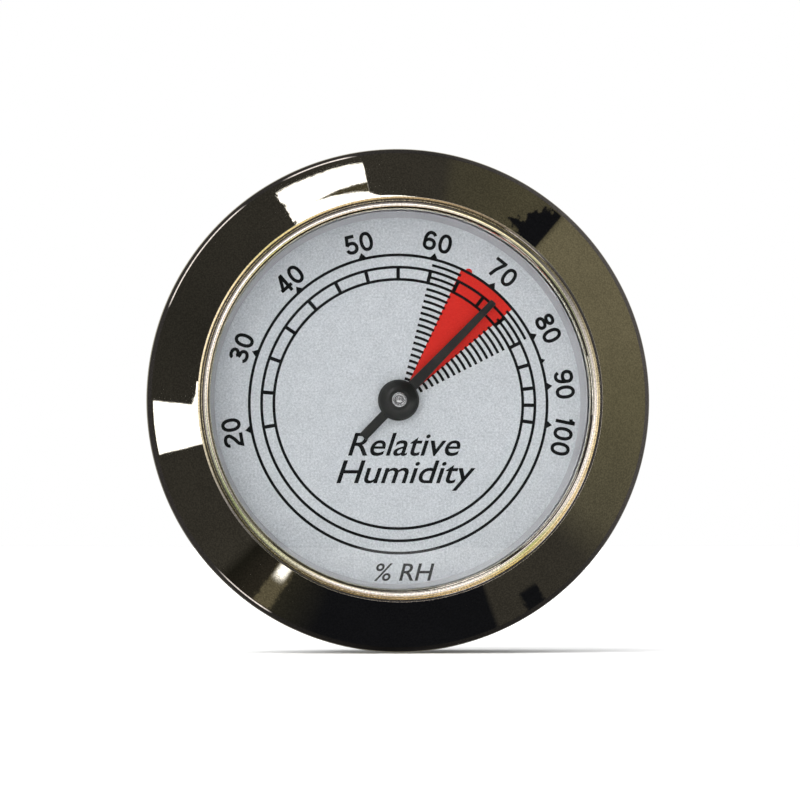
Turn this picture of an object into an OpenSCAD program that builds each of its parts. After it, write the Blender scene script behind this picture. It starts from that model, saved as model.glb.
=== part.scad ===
// Dial hygrometer for a panel or a lid: a spun bezel and a flat lens over a printed dial,
// with a coiled humidity strip turning the pointer behind it.
// The dial faces -Y and twelve o'clock points along +Z. The origin is on the axis of the
// instrument, in the plane of the panel that the bezel's rear lip rests on.
// Depths named y_ are measured into the panel, so what stands in front of it is negative.

/* [Bezel] */
// Outer diameter of the bezel
bezel_d = 50; // [49:0.5:54]
// Height of the bead's crest in front of the panel
bezel_h = 4.15; // [4.15:0.05:4.6]
// Thickness of the bezel's sheet metal
bezel_t = 0.5; // [0.4:0.05:0.6]
// Radius of the bezel's rolled outer edge
edge_r = 1; // [0.8:0.05:1.1]
// Radius of the bead around the opening
bead_r = 0.4; // [0.36:0.01:0.42]
// Depth of the shallow groove between the bead and the cone
groove_t = 0.1; // [0.06:0.01:0.14]
// Diameter of the opening inside the bead
opening_d = 37.5; // [37:0.1:37.6]

/* [Lens and dial] */
// Thickness of the glass lens
lens_t = 1; // [0.8:0.1:1.1]
// Thickness of the rubber gasket in front of the lens
gasket_t = 0.25; // [0.2:0.05:0.3]
// Depth of the dial's face behind the panel plane
dial_depth = 0.6; // [0.4:0.1:0.8]
// Thickness of the dial plate
dial_t = 0.5; // [0.4:0.1:0.6]

/* [Case] */
// Diameter of the body that goes through the panel
case_d = 44; // [43.8:0.1:44.4]
// Depth of the body behind the panel
case_depth = 11; // [10.9:0.1:12]
// Thickness of the wall round the movement
case_wall = 1.7; // [1.4:0.1:1.9]
// Thickness of the back
back_t = 1; // [0.8:0.1:1.2]
// Number of vent slots in the back
vent_count = 8; // [4:2:10]
// Width of each vent slot
vent_w = 1.5; // [1:0.1:1.8]

/* [Pointer] */
// Direction the pointer rests in, in degrees clockwise from twelve o'clock
rest_angle = 44; // [-100:0.1:98]
// Length of the needle from the axis to its tip
needle_l = 13.7; // [10:0.1:15]
// Length of the tail from the axis to its end
tail_l = 5.1; // [4:0.1:8]
// Diameter of the hub's skirt
hub_d = 4.1; // [3.8:0.1:5]

/* [Movement] */
// Turns of the humidity coil
coil_turns = 5.5; // [4:0.25:6]
// Thickness of the coil's strip
strip_t = 0.22; // [0.15:0.01:0.3]
// Width of the coil's strip
strip_w = 1.8; // [1.4:0.1:1.9]
// Distance of each pillar from the axis
pillar_x = 11; // [10.8:0.1:12]
// Calibration travel each way, in degrees
trim_angle = 30; // [15:1:35]

/* [Hidden] */
$fn = 96;
eps = 0.01;
turn_fit = 0.05;

// Stations along the axis, from the lens back
ridge_r = 0.1;
lip_t = 0.35;
rim_t = 1.15;
y_seat = rim_t - bezel_h;
y_gasket = y_seat + gasket_t;
y_lens = y_gasket + lens_t;
y_dial = dial_depth;
y_dial_back = y_dial + dial_t;
plate_t = 0.8;
y_plate_back = y_dial_back + plate_t;
y_bridge = 8;
y_bridge_back = y_bridge + plate_t;
y_back = case_depth;
y_floor = y_back - back_t;

// Radii of the case and what sits in its mouth
bezel_r = bezel_d / 2;
opening_r = opening_d / 2;
case_r = case_d / 2;
mouth_r = case_r - 0.9;
cavity_r = case_r - case_wall;
flange_r = bezel_r - 0.7;
flange_t = 0.7;
root_r = case_r + 0.25;
lens_r = mouth_r - 0.7;
chamfer = 0.4;
access_r = 2.6;

// Fasteners
screw_r = 0.7;
screw_head_r = 1.4;
screw_head_t = 0.8;
screw_seat = y_back - 1.1;
boss_r = 2.1;
pillar_r = 1.3;
hole_gap = 0.05;
dial_foot_z = 4.5;
dial_foot_r = 0.4;
bush_r = 1.2;
bush_flange_r = 1.7;
bush_flange_t = 0.35;
y_bush_end = 3.7;
nut_t = 1;

// Adjuster, arm and stops
journal_r = 1.95;
adjuster_flange_r = 3.4;
groove_r = 1.5;
y_arm = 6.3;
arm_t = 0.6;
y_arm_back = y_arm + arm_t;
y_washer = y_bridge_back + 0.02;
washer_t = 0.25;
y_clip = y_washer + washer_t + 0.02;
clip_t = 0.4;
y_adjuster_end = y_back - 0.4;
slot_w = 0.6;
stop_radius = 4.4;
stop_r = 0.4;
stop_slot_r = 0.55;

// Arbor and coil
arbor_r = 0.6;
pivot_r = 0.4;
eyelet_r = 0.75;
y_tip = -1.5;
y_shoulder = 6.15;
y_pivot_end = 8.1;
collet_r = 1.4;
y_collet = 3.9;
y_collet_back = 6.1;
stud_radius = 8.4;
stud_r = 0.7;
y_coil = (y_collet + y_collet_back - strip_w) / 2;
tail_slot_h = 0.6;
tab_l = 0.4;
steps_per_turn = 24;

// Hub and needle
hub_r = hub_d / 2;
y_skirt = 0.2;
y_needle = -0.3;
needle_t = 0.25;
y_crown = -1.2;

steel = [0.72, 0.73, 0.75];
brass = [0.80, 0.66, 0.36];
gunmetal = [0.42, 0.39, 0.31];
black = [0.13, 0.13, 0.13];

// Lays a flat drawing at depth y, seen upright from the front, with its thickness going forward
module facing(y) {
    translate([0, y, 0]) rotate([90, 0, 0]) children();
}

// Turns a profile of [radius, height in front of the panel] about the instrument's axis
module turned() {
    rotate([90, 0, 0]) rotate_extrude() children();
}

// A rectangle of a turned profile, from depth y0 in front to depth y1 behind it
module band(r0, r1, y0, y1) {
    translate([r0, -y1]) square([r1 - r0, y1 - y0]);
}

// A round rod along the axis direction at (x, z), from depth y0 to depth y1
module rod(x, z, r, y0, y1) {
    translate([x, y1, z]) rotate([90, 0, 0]) cylinder(r = r, h = y1 - y0);
}

// The same rod with a cone from radius r0 at depth y0 to radius r1 at depth y1
module taper(x, z, r0, r1, y0, y1) {
    translate([x, y1, z]) rotate([90, 0, 0]) cylinder(r1 = r1, r2 = r0, h = y1 - y0);
}

// Direction of the cone's face: it touches the rolled edge and the ridge beside the groove
edge_c = [bezel_r - edge_r, edge_r];
ridge_c = [opening_r + 1.2, bezel_h - ridge_r];
bead_c = [opening_r + bead_r, bezel_h - bead_r];
groove_c = [(bead_c[0] + ridge_c[0]) / 2 + 0.05, bezel_h - groove_t];
cone_l = norm(ridge_c - edge_c);
cone_a = atan2(ridge_c[1] - edge_c[1], edge_c[0] - ridge_c[0]) - asin((edge_r - ridge_r) / cone_l);
cone_n = [sin(cone_a), cos(cone_a)];

module bezel_cone(depth) {
    low = edge_c + (edge_r - depth) * cone_n;
    high = ridge_c + (ridge_r - depth) * cone_n;
    polygon([low, high, [high[0], lip_t], [low[0], lip_t]]);
}

module bezel() {
    seat_h = -y_seat;
    color(gunmetal) turned() {
        difference() {
            union() {
                bezel_cone(0);
                translate(edge_c) circle(r = edge_r);
                translate(ridge_c) circle(r = ridge_r);
                translate([bezel_r - edge_r, lip_t]) square([edge_r, edge_r - lip_t]);
                translate([bezel_r - lip_t, lip_t]) circle(r = lip_t);
                translate([root_r + 0.05, 0]) square([bezel_r - lip_t - root_r - 0.05, lip_t + 0.2]);
            }
            bezel_cone(bezel_t);
            translate(edge_c) circle(r = edge_r - bezel_t);
            translate([root_r, lip_t]) square([edge_c[0] + edge_r - bezel_t - root_r, edge_r - lip_t]);
            translate([0, lip_t]) square([ridge_c[0] + ridge_r, seat_h - lip_t]);
        }
        translate(bead_c) circle(r = bead_r);
        polygon([
            [opening_r, seat_h], [ridge_c[0], seat_h], ridge_c + [0, ridge_r], groove_c,
            bead_c + [0, bead_r], [opening_r, bead_c[1]]
        ]);
    }
}

module lens_gasket() {
    color(black) turned() band(opening_r + 0.15, opening_r + 1.15, y_seat, y_gasket);
}

module lens() {
    bevel = 0.12;
    color([0.85, 0.92, 0.95, 0.35]) turned() polygon([
        [0, -y_lens], [lens_r - bevel, -y_lens], [lens_r, bevel - y_lens],
        [lens_r, -y_gasket - bevel], [lens_r - bevel, -y_gasket], [0, -y_gasket]
    ]);
}

module spacer_ring() {
    top_r = opening_r - 0.03;
    low_r = opening_r - 0.48;
    outer_r = mouth_r - 0.05;
    profile = [[low_r, -y_dial], [outer_r, -y_dial], [outer_r, -y_lens], [top_r, -y_lens]];
    color([0.75, 0.75, 0.77]) turned() polygon(profile);
}

module dial_plate() {
    color([0.80, 0.82, 0.84]) turned() band(bush_r + hole_gap, mouth_r - 0.1, y_dial, y_dial_back);
}

module dial_feet() {
    color(brass) for (side = [-1, 1])
        rod(0, side * dial_foot_z, dial_foot_r, y_dial_back, y_plate_back + 0.4);
}

module front_bush() {
    bore_r = arbor_r + turn_fit;
    color(brass) turned() {
        band(bore_r, bush_flange_r, y_dial - bush_flange_t, y_dial);
        band(bore_r, bush_r, y_dial - bush_flange_t, y_bush_end);
    }
}

module bush_nut() {
    color(brass) difference() {
        facing(y_plate_back + nut_t) cylinder(r = 2.3, h = nut_t, $fn = 6);
        rod(0, 0, bush_r, y_plate_back - eps, y_plate_back + nut_t + eps);
    }
}

// Outline shared by the front plate and the bridge: a round middle and a bar to each pillar
module plate_blank(y0, middle_r, bar_w) {
    rod(0, 0, middle_r, y0, y0 + plate_t);
    translate([-pillar_x, y0, -bar_w / 2]) cube([2 * pillar_x, plate_t, bar_w]);
    for (side = [-1, 1])
        rod(side * pillar_x, 0, bar_w / 2, y0, y0 + plate_t);
}

module front_plate() {
    color(steel) difference() {
        plate_blank(y_dial_back, 6, 5);
        rod(0, 0, bush_r + hole_gap, y_dial_back - eps, y_plate_back + eps);
        for (side = [-1, 1]) {
            rod(0, side * dial_foot_z, dial_foot_r, y_dial_back - eps, y_plate_back + eps);
            rod(side * pillar_x, 0, screw_r + hole_gap, y_dial_back - eps, y_plate_back + eps);
            taper(side * pillar_x, 0, screw_head_r, screw_r + hole_gap, y_dial_back, y_plate_back - 0.1);
        }
    }
}

module plate_screws() {
    color(steel) for (side = [-1, 1]) difference() {
        union() {
            taper(side * pillar_x, 0, screw_head_r - hole_gap, screw_r, y_dial_back, y_plate_back - 0.1);
            rod(side * pillar_x, 0, screw_r, y_plate_back - 0.2, y_plate_back + 2);
        }
        translate([side * pillar_x - 2, y_dial_back - eps, -0.15]) cube([4, 0.3, 0.3]);
    }
}

module pillar(side) {
    color(brass) difference() {
        rod(side * pillar_x, 0, pillar_r, y_plate_back, y_bridge);
        rod(side * pillar_x, 0, screw_r + hole_gap, y_plate_back - eps, y_plate_back + 2.2);
        rod(side * pillar_x, 0, screw_r + hole_gap, y_bridge - 2.6, y_bridge + eps);
    }
}

module left_pillar() {
    pillar(-1);
}

module right_pillar() {
    pillar(1);
}

// Curved slot that the stop pin runs in, open a little further than the pin travels
module stop_slot() {
    half = trim_angle + asin(0.1 / stop_radius);
    facing(y_bridge_back + eps) rotate([0, 0, 90 - half]) rotate_extrude(angle = 2 * half)
        translate([stop_radius - stop_slot_r, 0]) square([2 * stop_slot_r, plate_t + 2 * eps]);
    for (a = [-half, half])
        rod(stop_radius * sin(a), stop_radius * cos(a), stop_slot_r, y_bridge - eps, y_bridge_back + eps);
}

module bridge() {
    color(steel) difference() {
        plate_blank(y_bridge, 6.2, 5);
        rod(0, 0, journal_r + turn_fit, y_bridge - eps, y_bridge_back + eps);
        for (side = [-1, 1])
            rod(side * pillar_x, 0, screw_r + hole_gap, y_bridge - eps, y_bridge_back + eps);
        stop_slot();
    }
}

module vent(angle) {
    inner = 7;
    outer = 16.5;
    facing(y_back + eps) rotate([0, 0, angle]) {
        translate([inner, -vent_w / 2, 0]) cube([outer - inner, vent_w, back_t + 2 * eps]);
        for (r = [inner, outer])
            translate([r, 0, 0]) cylinder(r = vent_w / 2, h = back_t + 2 * eps);
    }
}

module case_cup() {
    outer_wall = [
        [0, -y_back], [case_r - chamfer, -y_back], [case_r, chamfer - y_back], [case_r, 0],
        [root_r, 0], [root_r, lip_t], [flange_r, lip_t], [flange_r, lip_t + flange_t],
        [case_r, lip_t + flange_t], [case_r, -y_lens], [mouth_r, -y_lens],
        [mouth_r, -y_dial_back], [cavity_r, -y_dial_back], [cavity_r, -y_floor], [0, -y_floor]
    ];
    color(black) difference() {
        union() {
            turned() polygon(outer_wall);
            for (side = [-1, 1])
                rod(side * pillar_x, 0, boss_r, y_bridge_back, y_floor + eps);
        }
        rod(0, 0, access_r, y_floor - eps, y_back + eps);
        for (side = [-1, 1]) {
            rod(side * pillar_x, 0, screw_r + hole_gap, y_bridge_back - eps, y_back);
            rod(side * pillar_x, 0, screw_head_r + 0.2, screw_seat, y_back + eps);
        }
        for (i = [0 : vent_count - 1])
            vent((i + 0.5) * 360 / vent_count);
    }
}

module case_screws() {
    color(steel) for (side = [-1, 1]) difference() {
        union() {
            rod(side * pillar_x, 0, screw_r, y_bridge - 2.4, screw_seat + eps);
            rod(side * pillar_x, 0, screw_head_r, screw_seat, screw_seat + screw_head_t);
        }
        for (turn = [0, 90])
            translate([side * pillar_x, screw_seat + screw_head_t, 0]) rotate([0, turn, 0])
                cube([1.7, 0.8, 0.4], center = true);
    }
}

module adjuster() {
    color(brass) difference() {
        turned() {
            band(pivot_r + turn_fit, journal_r, y_arm, y_arm_back);
            band(pivot_r + turn_fit, adjuster_flange_r, y_arm_back, y_bridge - turn_fit);
            band(pivot_r + turn_fit, journal_r, y_bridge - turn_fit - eps, y_pivot_end + 0.2);
            band(0, journal_r, y_pivot_end + 0.2 - eps, y_clip);
            band(0, groove_r, y_clip - eps, y_clip + clip_t + eps);
            band(0, journal_r, y_clip + clip_t, y_adjuster_end);
        }
        translate([-journal_r - 1, y_adjuster_end - 0.8, -slot_w / 2])
            cube([2 * journal_r + 2, 1, slot_w]);
    }
}

module friction_washer() {
    color(steel) turned() band(journal_r + turn_fit, 3.3, y_washer, y_washer + washer_t);
}

module retaining_clip() {
    gap_w = 2.2;
    color(steel) difference() {
        turned() band(groove_r, 2.9, y_clip, y_clip + clip_t);
        translate([-gap_w / 2, y_clip - eps, -4]) cube([gap_w, clip_t + 2 * eps, 4]);
    }
}

module coil_arm() {
    color(steel) difference() {
        union() {
            rod(0, 0, adjuster_flange_r, y_arm, y_arm_back);
            translate([-1.1, y_arm, 0]) cube([2.2, arm_t, stud_radius]);
            rod(0, stud_radius, 1.1, y_arm, y_arm_back);
        }
        rod(0, 0, journal_r, y_arm - eps, y_arm_back + eps);
        rod(0, stop_radius, stop_r, y_arm - eps, y_arm_back + eps);
    }
}

module coil_stud() {
    color(brass) difference() {
        rod(0, stud_radius, stud_r, y_collet, y_arm);
        translate([-stud_r - eps, y_coil - 0.1, stud_radius - tail_slot_h / 2])
            cube([2 * stud_r + 2 * eps, strip_w + 0.2, tail_slot_h]);
    }
}

// Wedge that holds the coil's tail in the stud's slot
module stud_pin() {
    pin_z = coil_r1 + strip_t / 2 + 0.02;
    pin_h = stud_radius + tail_slot_h / 2 - pin_z;
    color(steel) translate([-0.9, y_coil + 0.5, pin_z]) cube([1.8, 0.8, pin_h]);
}

module stop_pin() {
    color(brass) rod(0, stop_radius, stop_r, y_arm, y_bridge_back - 0.1);
}

// Radius of the coil's middle line after a share s of its length, and the point there
coil_r0 = collet_r + strip_t / 2 + 0.03;
coil_r1 = stud_radius - 0.07;
tail_a = 8;
coil_steps = floor(coil_turns * steps_per_turn);
function coil_radius(s) = coil_r0 + (coil_r1 - coil_r0) * s;
function coil_angle(s) = 90 + tail_a - 360 * coil_turns * (1 - s);
function coil_point(s, side) =
    (coil_radius(s) + side * strip_t / 2) * [cos(coil_angle(s)), sin(coil_angle(s))];

// The coil's bent inner end, which sits in the collet's slot
function tab_point(r, across) =
    r * [cos(coil_angle(0)), sin(coil_angle(0))] + across * [sin(coil_angle(0)), -cos(coil_angle(0))];

module humidity_coil() {
    outside = [for (i = [0 : coil_steps]) coil_point(i / coil_steps, 1)];
    inside = [for (i = [coil_steps : -1 : 0]) coil_point(i / coil_steps, -1)];
    tab_end = collet_r - tab_l + 0.05;
    tab = [tab_point(tab_end, 0), tab_point(tab_end, strip_t), tab_point(coil_r0 + strip_t / 2, strip_t)];
    color([0.78, 0.62, 0.30]) facing(y_coil + strip_w)
        linear_extrude(strip_w) polygon(concat(outside, inside, tab));
}

module arbor() {
    bore_r = 0.38;
    color(steel) turned() difference() {
        union() {
            band(0, eyelet_r, y_tip, y_crown);
            band(0, arbor_r, y_crown - eps, y_shoulder);
            band(0, pivot_r, y_shoulder - eps, y_pivot_end);
        }
        band(-eps, bore_r, y_tip - eps, y_tip + 0.6);
    }
}

// Collar on the arbor, with a slot for the coil's bent inner end
module coil_collet() {
    color(brass) difference() {
        turned() band(arbor_r, collet_r, y_collet, y_collet_back);
        facing(y_collet_back - 0.15) rotate([0, 0, coil_angle(0)])
            translate([collet_r - tab_l, -strip_t - 0.04, 0]) cube([1, strip_t + 0.08, 3]);
    }
}

// Flat needle with a ring at the hub and a tail beyond it
module needle_blank() {
    neck_w = 1.04;
    waist_w = 0.88;
    tip_w = 0.68;
    tip_cut = 0.14;
    tail_w = 0.94;
    ring_r = hub_r - 0.25;
    facing(y_needle + needle_t) rotate([0, 0, -rest_angle]) difference() {
        union() {
            linear_extrude(needle_t) polygon([
                [-neck_w / 2, 0], [-waist_w / 2, needle_l / 2], [-tip_w / 2, needle_l - tip_cut],
                [tip_cut - tip_w / 2, needle_l], [tip_w / 2 - tip_cut, needle_l],
                [tip_w / 2, needle_l - tip_cut], [waist_w / 2, needle_l / 2], [neck_w / 2, 0],
                [tail_w / 2, 0], [tail_w / 2, -tail_l], [-tail_w / 2, -tail_l], [-tail_w / 2, 0]
            ]);
            cylinder(r = ring_r, h = needle_t);
        }
        translate([0, 0, -eps]) cylinder(r = arbor_r + 0.4, h = needle_t + 2 * eps);
    }
}

module pointer() {
    color(black) needle_blank();
}

// Domed hub on the arbor, clasping the needle's ring
module pointer_hub() {
    crown_r = 1.05;
    color(black) difference() {
        turned() polygon([
            [arbor_r, -y_skirt + 0.15], [bush_flange_r - 0.5, -y_skirt + 0.15],
            [hub_r - 0.2, -y_skirt + 0.05], [hub_r, -y_skirt + 0.15], [hub_r, -y_needle],
            [hub_r - 0.12, -y_needle + 0.2], [hub_r - 0.45, -y_needle + 0.5],
            [crown_r, -y_crown], [arbor_r, -y_crown]
        ]);
        needle_blank();
    }
}

bezel();
lens_gasket();
lens();
spacer_ring();
dial_plate();
dial_feet();
front_bush();
bush_nut();
front_plate();
plate_screws();
left_pillar();
right_pillar();
bridge();
case_cup();
case_screws();
adjuster();
friction_washer();
retaining_clip();
coil_arm();
coil_stud();
stud_pin();
stop_pin();
humidity_coil();
arbor();
coil_collet();
pointer();
pointer_hub();
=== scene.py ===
"""Looks of the dial hygrometer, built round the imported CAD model.

Lengths are in millimetres up to the last step of each mesh, which scales them to metres, and angles are in
degrees. The dial faces -Y. Clock angles run clockwise from twelve o'clock as seen from the front, and heights
are measured from the panel plane towards the viewer.
"""
import math

import bmesh
import bpy
import numpy as np
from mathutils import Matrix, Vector


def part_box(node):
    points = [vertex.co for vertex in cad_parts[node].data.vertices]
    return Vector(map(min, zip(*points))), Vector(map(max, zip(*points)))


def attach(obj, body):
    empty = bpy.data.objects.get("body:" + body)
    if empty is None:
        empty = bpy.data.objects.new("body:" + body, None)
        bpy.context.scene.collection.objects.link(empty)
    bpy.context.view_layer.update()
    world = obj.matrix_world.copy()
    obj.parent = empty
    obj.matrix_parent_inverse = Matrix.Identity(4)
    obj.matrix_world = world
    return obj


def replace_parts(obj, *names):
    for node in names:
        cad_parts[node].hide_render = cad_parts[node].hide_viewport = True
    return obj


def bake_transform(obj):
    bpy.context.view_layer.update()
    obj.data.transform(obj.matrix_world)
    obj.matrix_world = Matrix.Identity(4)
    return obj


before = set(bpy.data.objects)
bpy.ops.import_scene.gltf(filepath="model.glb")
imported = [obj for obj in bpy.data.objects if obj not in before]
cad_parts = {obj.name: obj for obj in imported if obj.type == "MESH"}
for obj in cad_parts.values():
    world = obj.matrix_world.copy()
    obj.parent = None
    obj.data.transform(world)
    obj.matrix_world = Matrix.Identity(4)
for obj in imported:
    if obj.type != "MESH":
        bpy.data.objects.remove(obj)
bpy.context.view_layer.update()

MM = 0.001
scene = bpy.context.scene


def node_box(name):
    """Lowest and highest corner of a CAD node in millimetres."""
    low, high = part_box(name)
    return low / MM, high / MM


def node_radius(name):
    return node_box(name)[1].x


def polar(radius, clock):
    """Point (x, z) at a radius and a clock angle in degrees."""
    a = math.radians(clock)
    return radius * math.sin(a), radius * math.cos(a)


def arc(centre, radius, start, end, steps):
    """Points from angle start to angle end, in degrees from the first axis towards the second."""
    angles = np.radians(np.linspace(start, end, steps + 1))
    return [(centre[0] + radius * math.cos(a), centre[1] + radius * math.sin(a)) for a in angles]


# ------------ materials

class Shader:
    """A material's node tree with one Principled shader."""

    def __init__(self, name):
        self.material = bpy.data.materials.new(name)
        self.material.use_nodes = True
        self.tree = self.material.node_tree
        self.shader = self.tree.nodes["Principled BSDF"]
        coords = self.tree.nodes.new("ShaderNodeTexCoord")
        self.position = coords.outputs["Object"]

    def add(self, kind, **settings):
        made = self.tree.nodes.new("ShaderNode" + kind)
        for key, value in settings.items():
            setattr(made, key, value)
        return made

    def link(self, source, target):
        self.tree.links.new(source, target)

    def set(self, **values):
        """Constant values on the shader's own sockets, named with _ for a space."""
        for key, value in values.items():
            self.shader.inputs[key.replace("_", " ")].default_value = value
        return self

    def math(self, operation, a, b=None):
        made = self.add("Math", operation=operation)
        for socket, value in zip(made.inputs, (a, b)):
            if value is None:
                continue
            if isinstance(value, (int, float)):
                socket.default_value = value
            else:
                self.link(value, socket)
        return made.outputs[0]

    def stretched(self, x, y=None, z=None):
        """The position in metres, scaled alike or per axis."""
        made = self.add("Mapping")
        made.inputs["Scale"].default_value = (x, y or x, z or x)
        self.link(self.position, made.inputs["Vector"])
        return made.outputs["Vector"]

    def round_lines(self, per_mm, around=6.0):
        """A vector that varies quickly with the radius and slowly round the axis, for turned surfaces."""
        split = self.add("SeparateXYZ")
        self.link(self.position, split.inputs[0])
        x, y, z = split.outputs
        radius = self.math("SQRT", self.math("ADD", self.math("MULTIPLY", x, x), self.math("MULTIPLY", z, z)))
        made = self.add("CombineXYZ")
        self.link(self.math("MULTIPLY", radius, per_mm / MM), made.inputs[0])
        self.link(self.math("MULTIPLY", y, per_mm / MM), made.inputs[1])
        self.link(self.math("MULTIPLY", self.math("ARCTAN2", x, z), around), made.inputs[2])
        return made.outputs[0]

    def noise(self, vector, detail=3.0, roughness=0.55):
        made = self.add("TexNoise")
        self.link(vector, made.inputs["Vector"])
        made.inputs["Scale"].default_value = 1.0
        made.inputs["Detail"].default_value = detail
        made.inputs["Roughness"].default_value = roughness
        return made.outputs["Fac"]

    def remap(self, value, low, high, from_low=0.3, from_high=0.7):
        made = self.add("MapRange")
        self.link(value, made.inputs["Value"])
        made.inputs["From Min"].default_value = from_low
        made.inputs["From Max"].default_value = from_high
        made.inputs["To Min"].default_value = low
        made.inputs["To Max"].default_value = high
        return made.outputs[0]

    def colours(self, value, dark, light, from_low=0.3, from_high=0.7):
        ramp = self.add("ValToRGB")
        self.link(self.remap(value, 0.0, 1.0, from_low, from_high), ramp.inputs[0])
        ramp.color_ramp.elements[0].color = (*dark, 1)
        ramp.color_ramp.elements[1].color = (*light, 1)
        return ramp.outputs["Color"]

    def paint(self, colour):
        self.link(colour, self.shader.inputs["Base Color"])
        return self

    def rough(self, value):
        self.link(value, self.shader.inputs["Roughness"])
        return self

    def bump(self, height, depth_mm):
        made = self.add("Bump")
        made.inputs["Distance"].default_value = depth_mm * MM
        self.link(height, made.inputs["Height"])
        previous = self.shader.inputs["Normal"]
        if previous.is_linked:
            self.link(previous.links[0].from_socket, made.inputs["Normal"])
        self.link(made.outputs[0], previous)
        return self


def grained(name, per_metre, dark, light, roughness, depth_mm, detail=3.0, **settings):
    """A material whose colour, roughness and relief follow one fine grain."""
    s = Shader(name).set(**settings)
    grain = s.noise(s.stretched(*per_metre), detail=detail)
    s.paint(s.colours(grain, dark, light))
    return s.rough(s.remap(grain, *roughness)).bump(grain, depth_mm).material


def bezel_metal():
    """Polished plating in a warm gunmetal tone, with faint spinning marks and fine specks."""
    s = Shader("bezel_metal").set(Metallic=1.0)
    fine = s.noise(s.round_lines(7.0, 2.0), detail=4.0)
    wide = s.noise(s.stretched(260), detail=3.0)
    speck = s.noise(s.stretched(6500), detail=2.0)
    both = s.math("ADD", s.math("MULTIPLY", wide, 0.2), s.math("MULTIPLY", speck, 0.8))
    s.paint(s.colours(both, (0.58, 0.527, 0.377), (0.89, 0.807, 0.578), 0.38, 0.62))
    s.rough(s.remap(fine, 0.008, 0.03))
    return s.bump(fine, 0.0002).bump(wide, 0.003).material


def lens_glass():
    s = Shader("lens_glass")
    s.set(Transmission_Weight=1.0, IOR=1.5, Roughness=0.0, Base_Color=(1, 1, 1, 1))
    return s.set(Specular_IOR_Level=0.35).material


def dial_aluminium():
    """Silver-white coated aluminium with the fine grain of a frosted plate."""
    s = Shader("dial_aluminium").set(Metallic=0.15, Specular_IOR_Level=0.35)
    grain = s.noise(s.stretched(5200), detail=2.0)
    cloud = s.noise(s.stretched(900), detail=4.0)
    both = s.math("ADD", s.math("MULTIPLY", grain, 0.8), s.math("MULTIPLY", cloud, 0.2))
    s.paint(s.colours(both, (0.50, 0.535, 0.565), (0.80, 0.835, 0.865), 0.3, 0.7))
    return s.rough(s.remap(grain, 0.42, 0.6)).bump(grain, 0.006).material


def pointer_paint():
    """Satin black paint over stamped metal, a little uneven and lighter where it is thin."""
    s = Shader("pointer_paint").set(Coat_Weight=0.1, Coat_Roughness=0.35)
    peel = s.noise(s.stretched(3500), detail=4.0)
    wear = s.noise(s.stretched(1200), detail=6.0, roughness=0.7)
    s.paint(s.colours(wear, (0.001, 0.0014, 0.0008), (0.009, 0.010, 0.006), 0.35, 0.72))
    return s.rough(s.remap(peel, 0.36, 0.52)).bump(peel, 0.008).material


def turned_metal(name, dark, light, per_mm=6.0, roughness=(0.2, 0.34)):
    s = Shader(name).set(Metallic=1.0)
    lines = s.noise(s.round_lines(per_mm, 1.5), detail=3.0)
    tarnish = s.noise(s.stretched(500), detail=5.0)
    s.paint(s.colours(tarnish, dark, light))
    return s.rough(s.remap(lines, *roughness)).bump(lines, 0.0025).material


def brushed_steel():
    s = Shader("steel").set(Metallic=1.0)
    lines = s.noise(s.stretched(600, 9000, 14000), detail=4.0)
    tone = s.noise(s.stretched(400), detail=4.0)
    s.paint(s.colours(tone, (0.50, 0.51, 0.53), (0.66, 0.67, 0.69)))
    return s.rough(s.remap(lines, 0.22, 0.4)).bump(lines, 0.0025).material


def case_plastic():
    """Moulded black plastic with the fine texture of a spark-eroded mould."""
    s = Shader("case_plastic").set(Specular_IOR_Level=0.45)
    spark = s.noise(s.stretched(5200), detail=5.0, roughness=0.65)
    cloud = s.noise(s.stretched(350), detail=3.0)
    s.paint(s.colours(cloud, (0.017, 0.017, 0.018), (0.022, 0.022, 0.023)))
    return s.rough(s.remap(spark, 0.42, 0.62)).bump(spark, 0.018).material


def floor_paint():
    s = Shader("floor_paint").set(Roughness=0.9, Specular_IOR_Level=0.1)
    cloud = s.noise(s.stretched(8), detail=2.0)
    s.paint(s.colours(cloud, (0.86, 0.86, 0.86), (0.89, 0.89, 0.89)))
    output = s.tree.nodes["Material Output"]
    clear = s.add("BsdfTransparent")
    mix = s.add("MixShader")
    side = s.add("NewGeometry")
    s.link(side.outputs["Backfacing"], mix.inputs[0])
    s.link(s.shader.outputs[0], mix.inputs[1])
    s.link(clear.outputs[0], mix.inputs[2])
    s.link(mix.outputs[0], output.inputs["Surface"])
    return s.material


BEZEL = bezel_metal()
GLASS = lens_glass()
RUBBER = grained("gasket_rubber", [9000], (0.012, 0.012, 0.012), (0.035, 0.035, 0.036), (0.6, 0.8), 0.01)
SPACER = grained("spacer_plastic", [6000], (0.50, 0.50, 0.52), (0.58, 0.58, 0.60), (0.16, 0.24), 0.002)
DIAL = dial_aluminium()
BLACK_INK = grained("black_ink", [7000], (0.003, 0.003, 0.0035), (0.008, 0.008, 0.009), (0.45, 0.65), 0.003,
                    Specular_IOR_Level=0.15)
RED_INK = grained("red_ink", [7000], (0.66, 0.016, 0.010), (0.76, 0.030, 0.018), (0.45, 0.65), 0.003,
                  Specular_IOR_Level=0.15)
PAINT = pointer_paint()
BRASS = turned_metal("brass", (0.64, 0.47, 0.20), (0.80, 0.63, 0.31))
ARBOR_STEEL = turned_metal("arbor_steel", (0.42, 0.42, 0.43), (0.60, 0.60, 0.60), 9.0, (0.16, 0.3))
STEEL = brushed_steel()
COIL = grained("coil_brass", (1500, 16000, 1500), (0.58, 0.42, 0.19), (0.74, 0.57, 0.29), (0.22, 0.38),
               0.0015, detail=4.0, Metallic=1.0)
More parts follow.
